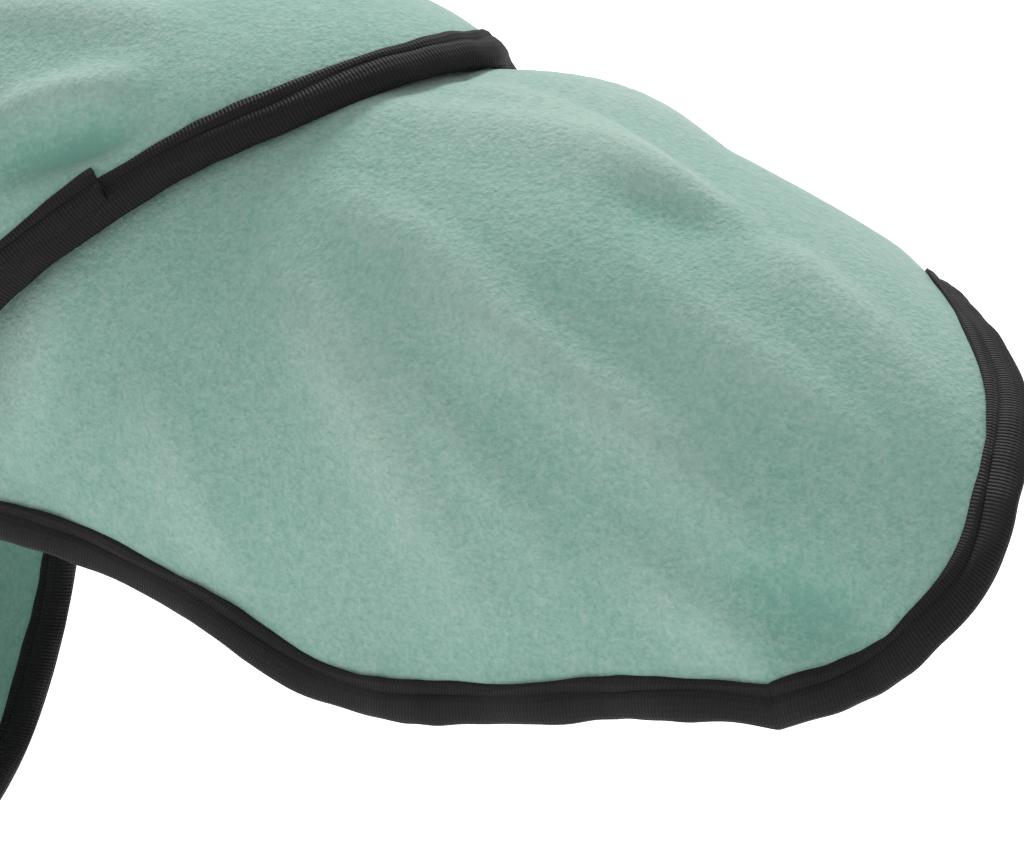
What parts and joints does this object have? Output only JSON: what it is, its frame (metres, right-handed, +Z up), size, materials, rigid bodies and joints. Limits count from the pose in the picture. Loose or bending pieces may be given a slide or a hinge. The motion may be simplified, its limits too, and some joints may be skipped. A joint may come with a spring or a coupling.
{
  "type": "dog rug cut like a horse blanket, fleece, with a belly wrap",
  "caption": "Fleece animal rug: U-shaped back panel over both sides, closed chest panel, belly wrap brought up over the back, ribbed tape on every edge",
  "frame": {"origin": "underside of the back panel on the back line, just behind the middle of the rug, where the wearer's back holds it up", "axes": "+X towards the head, +Y towards the wearer's left side, +Z up"},
  "size_m": [0.7386, 0.2135, 0.323],
  "materials": {
    "fleece": "brushed fleece, soft nap",
    "tape": "ribbed woven tape"
  },
  "bodies": {
    "root": {"back_panel": "fleece", "chest_panel": "fleece", "belly_wrap": "fleece", "hem_binding": "tape", "neck_binding": "tape", "wrap_binding": "tape"}
  },
  "joints": []
}
